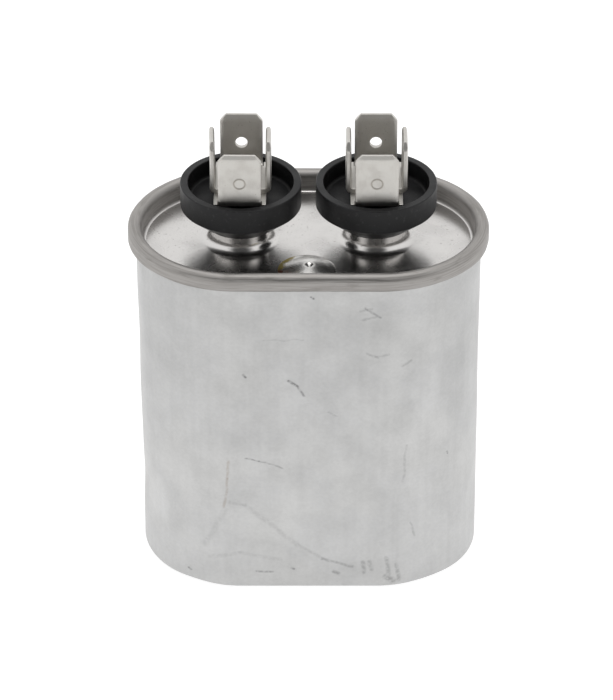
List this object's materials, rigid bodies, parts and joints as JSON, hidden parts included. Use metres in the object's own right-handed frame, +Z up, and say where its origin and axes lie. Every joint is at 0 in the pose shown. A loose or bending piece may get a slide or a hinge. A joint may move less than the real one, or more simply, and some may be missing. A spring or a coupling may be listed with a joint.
{
  "type": "motor run capacitor",
  "caption": "Oval motor run capacitor: drawn aluminium can, rolled lid seam, and four-way push-on terminals in black insulating cups.",
  "frame": {"origin": "centre of the can's flat bottom, on the surface that it stands on", "axes": "+Z up, from the bottom to the tabs; +X along the oval, towards the right terminal; -Y towards the side with the solder-sealed filling hole"},
  "size_m": [0.054, 0.0328, 0.0712],
  "materials": {
    "can_aluminium": "drawn matt aluminium, handled, with fine scratches and rubbed marks",
    "lid_tinplate": "bright tinplate, mirror-like on the panel and duller on the rolled seam",
    "solder": "bright soft solder with flux residue",
    "cup_plastic": "moulded black thermoset with a satin skin",
    "tab_metal": "tin-plated brass strip, satin, grey",
    "rivet_metal": "tin-plated brass",
    "seal_rubber": "black rubber",
    "washer_board": "brown insulating laminate",
    "lead_metal": "tinned strip",
    "interrupter_plastic": "natural moulded plastic",
    "winding_film": "metallised polypropylene film roll",
    "end_metal": "sprayed zinc, rough",
    "liner_wrap": "insulating wrap",
    "pad_board": "pressboard"
  },
  "bodies": {
    "root": {"can": "can_aluminium", "lid": "lid_tinplate", "seam_compound": "seal_rubber", "fill_hole_solder": "solder", "left_insulating_cup": "cup_plastic", "right_insulating_cup": "cup_plastic", "left_front_rear_tabs": "tab_metal", "right_front_rear_tabs": "tab_metal", "left_side_tabs": "tab_metal", "right_side_tabs": "tab_metal", "left_rivet": "rivet_metal", "right_rivet": "rivet_metal", "left_sealing_bushing": "seal_rubber", "right_sealing_bushing": "seal_rubber", "left_inner_washer": "washer_board", "right_inner_washer": "washer_board", "left_inner_lug": "lead_metal", "right_inner_lug": "lead_metal", "upper_lead": "lead_metal", "lower_lead": "lead_metal", "interrupter_plate": "interrupter_plastic", "winding": "winding_film", "upper_end_spray": "end_metal", "lower_end_spray": "end_metal", "liner_sleeve": "liner_wrap", "base_pad": "pad_board"}
  },
  "joints": []
}
